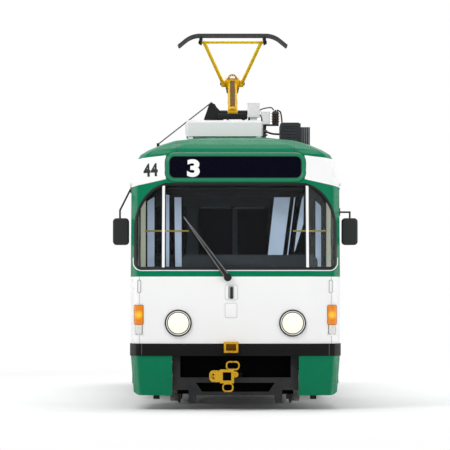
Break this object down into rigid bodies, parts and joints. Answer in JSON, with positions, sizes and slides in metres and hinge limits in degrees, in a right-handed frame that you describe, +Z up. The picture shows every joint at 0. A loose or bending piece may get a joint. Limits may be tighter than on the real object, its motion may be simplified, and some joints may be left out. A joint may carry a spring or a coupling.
{
  "type": "tram",
  "caption": "Green and white four-axle city tram with folding doors, swivelling bogies and a single-arm pantograph",
  "frame": {"origin": "middle of the bounding box's bottom, level with the bottoms of the wheel flanges", "axes": "+Z up, -Y is the driving end, +X is the car's left side, so the doors are on the -X side"},
  "size_m": [2.95, 14.52, 4.7567],
  "materials": {
    "green_paint": "satin",
    "white_paint": "satin",
    "black_paint": "satin",
    "grey_steel": "matte",
    "roof_white": "satin",
    "yellow_paint": "satin",
    "wheel_steel": "satin",
    "tinted_glass": "gloss",
    "display_face": "gloss",
    "headlamp_glass": "gloss",
    "orange_lens": "gloss",
    "white_lens": "gloss",
    "red_lens": "gloss",
    "black_plastic": "matte",
    "cab_grey": "matte",
    "floor_rubber": "matte",
    "seat_shell": "satin",
    "pole_yellow": "gloss",
    "collector_grey": "satin"
  },
  "bodies": {
    "car_body": {"underframe": "grey_steel", "floor": "floor_rubber", "door_steps": "floor_rubber", "side_left": "green_paint", "side_right": "green_paint", "roof": "green_paint", "front_shell": "green_paint", "front_apron": "white_paint", "rear_shell": "green_paint", "rear_apron": "white_paint", "windscreens": "tinted_glass", "side_windows": "tinted_glass", "bumpers": "black_paint", "corner_skirts": "green_paint", "side_skirts": "green_paint", "headlamps": "headlamp_glass", "indicators": "orange_lens", "marker_lamps": "white_lens", "tail_lamps": "red_lens", "destination_display": "display_face", "tow_pockets": "yellow_paint", "lifeguards": "grey_steel", "cab_partition": "cab_grey", "dashboard": "cab_grey", "driver_seat": "seat_shell", "passenger_seats": "seat_shell", "handrails": "pole_yellow", "wiper": "black_paint", "mirrors": "black_plastic", "roof_box": "roof_white", "resistor_box": "grey_steel", "roof_rails": "grey_steel", "pantograph_base": "black_paint"},
    "bogie_front": {"bogie_frame_front": "grey_steel", "motors_front": "black_paint", "track_brakes_front": "grey_steel"},
    "wheels_1": {"wheelset_1": "wheel_steel"},
    "wheels_2": {"wheelset_2": "wheel_steel"},
    "coupler_front_arm": {"coupler_front": "yellow_paint"},
    "bogie_rear": {"bogie_frame_rear": "grey_steel", "motors_rear": "black_paint", "track_brakes_rear": "grey_steel"},
    "wheels_3": {"wheelset_3": "wheel_steel"},
    "wheels_4": {"wheelset_4": "wheel_steel"},
    "coupler_rear_arm": {"coupler_rear": "yellow_paint"},
    "pantograph_lower": {"pantograph_lower_arm": "yellow_paint"},
    "pantograph_upper": {"pantograph_upper_arm": "yellow_paint"},
    "pantograph_pan": {"pantograph_head": "collector_grey"},
    "leaf_1_a1": {"door_1_a1": "green_paint"},
    "leaf_1_a2": {"door_1_a2": "green_paint"},
    "leaf_1_b2": {"door_1_b2": "green_paint"},
    "leaf_1_b1": {"door_1_b1": "green_paint"},
    "leaf_2_a1": {"door_2_a1": "green_paint"},
    "leaf_2_a2": {"door_2_a2": "green_paint"},
    "leaf_2_b2": {"door_2_b2": "green_paint"},
    "leaf_2_b1": {"door_2_b1": "green_paint"},
    "leaf_3_a1": {"door_3_a1": "green_paint"},
    "leaf_3_a2": {"door_3_a2": "green_paint"},
    "leaf_3_b2": {"door_3_b2": "green_paint"},
    "leaf_3_b1": {"door_3_b1": "green_paint"}
  },
  "joints": [
    {"name": "bogie_front_swivel", "type": "hinge", "parent": "car_body", "child": "bogie_front", "pos_m": [0, -3.2, 0.745], "axis": [0, 0, 1], "range_deg": [-10, 10]},
    {"name": "axle_1", "type": "hinge", "parent": "bogie_front", "child": "wheels_1", "pos_m": [0, -4.15, 0.378], "axis": [1, 0, 0], "continuous": true},
    {"name": "axle_2", "type": "hinge", "parent": "bogie_front", "child": "wheels_2", "pos_m": [0, -2.25, 0.378], "axis": [1, 0, 0], "continuous": true},
    {"name": "coupler_front_swing", "type": "hinge", "parent": "car_body", "child": "coupler_front_arm", "pos_m": [-0.06, -6.6, 0.43], "axis": [0, 0, 1], "range_deg": [-12, 12]},
    {"name": "bogie_rear_swivel", "type": "hinge", "parent": "car_body", "child": "bogie_rear", "pos_m": [0, 3.2, 0.745], "axis": [0, 0, 1], "range_deg": [-10, 10]},
    {"name": "axle_3", "type": "hinge", "parent": "bogie_rear", "child": "wheels_3", "pos_m": [0, 2.25, 0.378], "axis": [1, 0, 0], "continuous": true},
    {"name": "axle_4", "type": "hinge", "parent": "bogie_rear", "child": "wheels_4", "pos_m": [0, 4.15, 0.378], "axis": [1, 0, 0], "continuous": true},
    {"name": "coupler_rear_swing", "type": "hinge", "parent": "car_body", "child": "coupler_rear_arm", "pos_m": [-0.06, 6.6, 0.43], "axis": [0, 0, 1], "range_deg": [-12, 12]},
    {"name": "pantograph_raise", "type": "hinge", "parent": "car_body", "child": "pantograph_lower", "pos_m": [-0.025, -3.2, 3.74], "axis": [1, 0, 0], "range_deg": [-15, 38]},
    {"name": "pantograph_knee", "type": "hinge", "parent": "pantograph_lower", "child": "pantograph_upper", "pos_m": [-0.025, -1.98312, 4.19739], "axis": [1, 0, 0], "range_deg": [-76, 30]},
    {"name": "pantograph_level", "type": "hinge", "parent": "pantograph_upper", "child": "pantograph_pan", "pos_m": [-0.025, -3.2, 4.65479], "axis": [1, 0, 0], "range_deg": [-15, 38]},
    {"name": "door_1_open", "type": "hinge", "parent": "car_body", "child": "leaf_1_a1", "pos_m": [-1.203, -5.937, 1.489], "axis": [0, 0, -1], "range_deg": [0, 86]},
    {"name": "door_1_a_fold", "type": "hinge", "parent": "leaf_1_a1", "child": "leaf_1_a2", "pos_m": [-1.242, -5.6265, 1.489], "axis": [0, 0, 1], "range_deg": [0, 172]},
    {"name": "door_1_b_turn", "type": "hinge", "parent": "car_body", "child": "leaf_1_b1", "pos_m": [-1.203, -4.663, 1.489], "axis": [0, 0, 1], "range_deg": [0, 86]},
    {"name": "door_1_b_fold", "type": "hinge", "parent": "leaf_1_b1", "child": "leaf_1_b2", "pos_m": [-1.242, -4.9735, 1.489], "axis": [0, 0, -1], "range_deg": [0, 172]},
    {"name": "door_2_open", "type": "hinge", "parent": "car_body", "child": "leaf_2_a1", "pos_m": [-1.203, -0.637, 1.489], "axis": [0, 0, -1], "range_deg": [0, 86]},
    {"name": "door_2_a_fold", "type": "hinge", "parent": "leaf_2_a1", "child": "leaf_2_a2", "pos_m": [-1.242, -0.3265, 1.489], "axis": [0, 0, 1], "range_deg": [0, 172]},
    {"name": "door_2_b_turn", "type": "hinge", "parent": "car_body", "child": "leaf_2_b1", "pos_m": [-1.203, 0.637, 1.489], "axis": [0, 0, 1], "range_deg": [0, 86]},
    {"name": "door_2_b_fold", "type": "hinge", "parent": "leaf_2_b1", "child": "leaf_2_b2", "pos_m": [-1.242, 0.3265, 1.489], "axis": [0, 0, -1], "range_deg": [0, 172]},
    {"name": "door_3_open", "type": "hinge", "parent": "car_body", "child": "leaf_3_a1", "pos_m": [-1.203, 4.663, 1.489], "axis": [0, 0, -1], "range_deg": [0, 86]},
    {"name": "door_3_a_fold", "type": "hinge", "parent": "leaf_3_a1", "child": "leaf_3_a2", "pos_m": [-1.242, 4.9735, 1.489], "axis": [0, 0, 1], "range_deg": [0, 172]},
    {"name": "door_3_b_turn", "type": "hinge", "parent": "car_body", "child": "leaf_3_b1", "pos_m": [-1.203, 5.937, 1.489], "axis": [0, 0, 1], "range_deg": [0, 86]},
    {"name": "door_3_b_fold", "type": "hinge", "parent": "leaf_3_b1", "child": "leaf_3_b2", "pos_m": [-1.242, 5.6265, 1.489], "axis": [0, 0, -1], "range_deg": [0, 172]}
  ],
  "couplings": [
    {"joint": "pantograph_knee", "follows": "pantograph_raise", "ratio": -2},
    {"joint": "pantograph_level", "follows": "pantograph_raise", "ratio": 1},
    {"joint": "door_1_a_fold", "follows": "door_1_open", "ratio": 2},
    {"joint": "door_1_b_turn", "follows": "door_1_open", "ratio": 1},
    {"joint": "door_1_b_fold", "follows": "door_1_open", "ratio": 2},
    {"joint": "door_2_a_fold", "follows": "door_2_open", "ratio": 2},
    {"joint": "door_2_b_turn", "follows": "door_2_open", "ratio": 1},
    {"joint": "door_2_b_fold", "follows": "door_2_open", "ratio": 2},
    {"joint": "door_3_a_fold", "follows": "door_3_open", "ratio": 2},
    {"joint": "door_3_b_turn", "follows": "door_3_open", "ratio": 1},
    {"joint": "door_3_b_fold", "follows": "door_3_open", "ratio": 2}
  ]
}
